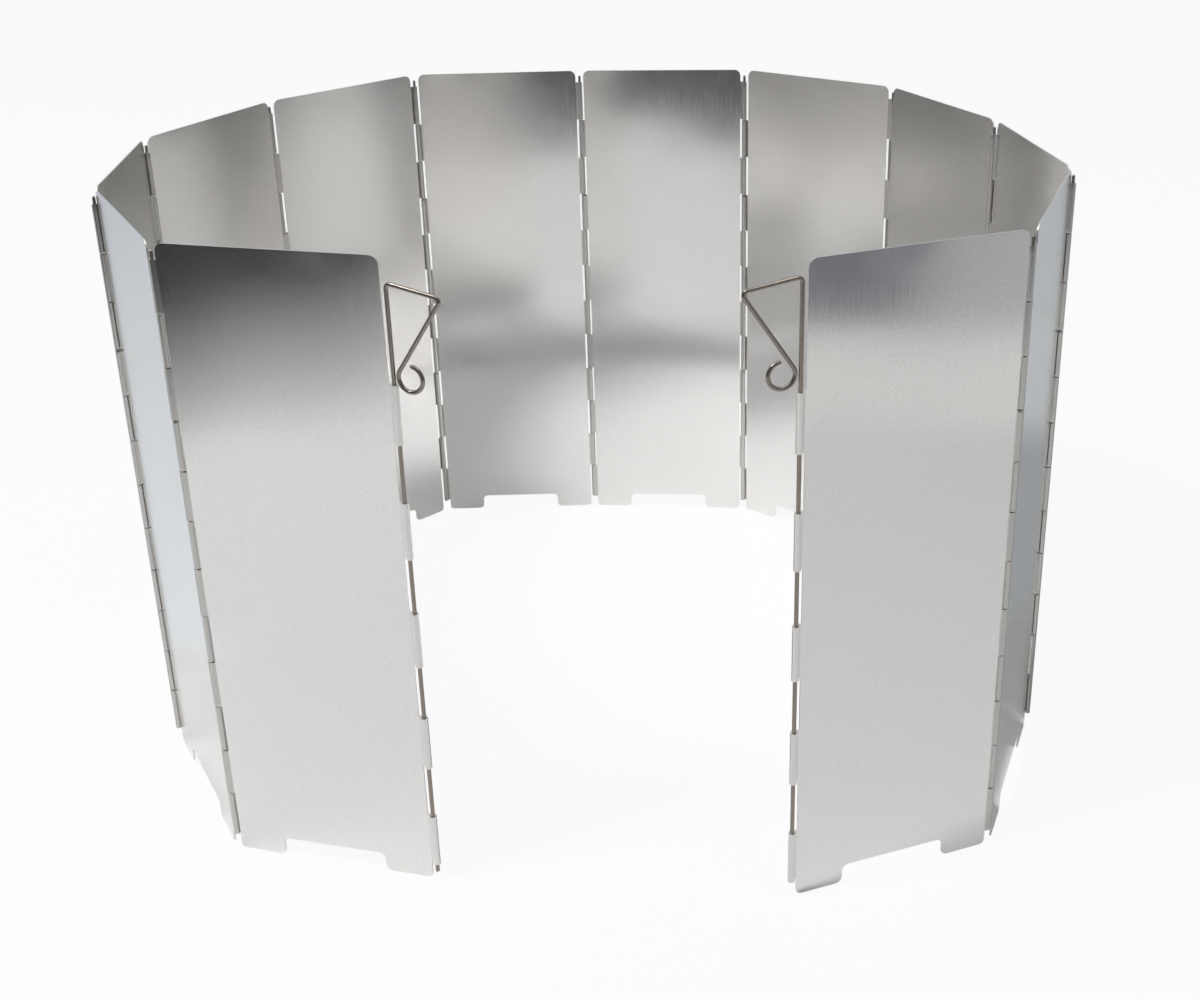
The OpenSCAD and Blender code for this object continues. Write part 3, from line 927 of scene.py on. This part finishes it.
def wire_piece(name, points, diameter, material, bends=NO_BENDS, bend_r=0.0):
    """A wire of that diameter along the points, bent at the points from the first to the last of bends."""
    curve = bpy.data.curves.new(name, "CURVE")
    curve.dimensions = "3D"
    line = curve.splines.new("POLY")
    line.points.add(len(points) - 1)
    for spot, point in zip(line.points, points):
        spot.co = (*point, 1)
    source = bpy.data.objects.new("path", curve)
    bpy.context.scene.collection.objects.link(source)
    sweep = source.modifiers.new("sweep", "NODES")
    sweep.node_group = bent_wire
    first, last = bends
    give(sweep, {
        "Diameter": diameter, "Bend radius": bend_r, "First bend": float(first), "Last bend": float(last),
        "Tip share": 1 - 2 * PIN_BEVEL / diameter, "Sides": WIRE_SIDES, "Material": material})
    piece = finished(source, name)
    piece.data.shade_smooth()
    piece.data.set_sharp_from_angle(angle=SHARP_ANGLE)
    return piece


print("sides of a wire:", WIRE_SIDES)

# %% [markdown]
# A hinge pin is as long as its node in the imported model, and rides with the panel on its left.

# %% Hinge pins
def hinge_pin(i):
    """The wire of one hinge, as long as the node that it stands for."""
    low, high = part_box(f"hinge_pin_{i}")
    heights = (low.z, low.z + PIN_BEVEL, high.z - PIN_BEVEL, high.z)
    points = [(axes[i].x, axes[i].y, z) for z in heights]
    piece = wire_piece(f"hinge_{i}_wire", points, HINGE_PIN_D, hinge_steel)
    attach(piece, f"panel_{i}")
    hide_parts(f"hinge_pin_{i}")
    return piece


hinge_pins = [hinge_pin(i) for i in range(1, PANELS)]
print("faces in a hinge pin:", len(hinge_pins[0].data.polygons))

# %% [markdown]
# The path of an end pin is a bent line in one upright plane. Its last run touches the curl's circle, so the
# angle where the curl starts follows from the circle's middle and from the corner before it. Each handle
# points away from its panel, turned a little to one side as in the photograph.

# %% End pins
HANDLE_REACH = 20 * MM
HANDLE_DROP = 3 * MM
HANDLE_BEND_R = 1.5 * MM
CURL_R = 4.5 * MM
CURL_GAP = 0.4 * MM
CURL_DROP = 31.5 * MM
CURL_SWEEP = math.radians(300)
CURL_STEPS = 40
HANDLE_CORNERS = (2, 3)
LEFT_HANDLE_TURN = math.radians(10)
RIGHT_HANDLE_TURN = math.radians(-4)


def end_pin_path(top):
    """Points (reach, height) of an end pin's wire from its top bend on, which is at that height."""
    corner = Vector((HANDLE_REACH, top - HANDLE_DROP))
    middle = Vector((END_PIN_D + CURL_GAP + CURL_R, top - CURL_DROP))
    out = corner - middle
    start = math.atan2(out.y, out.x) + math.acos(CURL_R / out.length)
    turns = [start + CURL_SWEEP * n / CURL_STEPS for n in range(CURL_STEPS + 1)]
    curl = [middle + CURL_R * Vector((math.cos(a), math.sin(a))) for a in turns]
    return [Vector((0, top)), corner] + curl


def end_pin(side, edge, angle):
    """One end pin, with its handle pointing along an angle seen from above."""
    low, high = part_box(f"{side}_end_pin")
    bend_z = high.z - END_PIN_D / 2
    flat = [Vector((0, low.z)), Vector((0, low.z + PIN_BEVEL))] + end_pin_path(bend_z)
    out = Vector((math.cos(angle), math.sin(angle)))
    points = [(axes[edge].x + p.x * out.x, axes[edge].y + p.x * out.y, p.y) for p in flat]
    name = f"{side}_end_pin_wire"
    piece = wire_piece(name, points, END_PIN_D, end_steel, HANDLE_CORNERS, HANDLE_BEND_R)
    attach(piece, f"{side}_end_pin")
    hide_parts(f"{side}_end_pin")
    return piece


left_pin = end_pin("left", 0, heading(1) + math.pi - LEFT_HANDLE_TURN)
right_pin = end_pin("right", PANELS, heading(PANELS) + RIGHT_HANDLE_TURN)
print("faces in the end pins:", len(left_pin.data.polygons), len(right_pin.data.polygons))
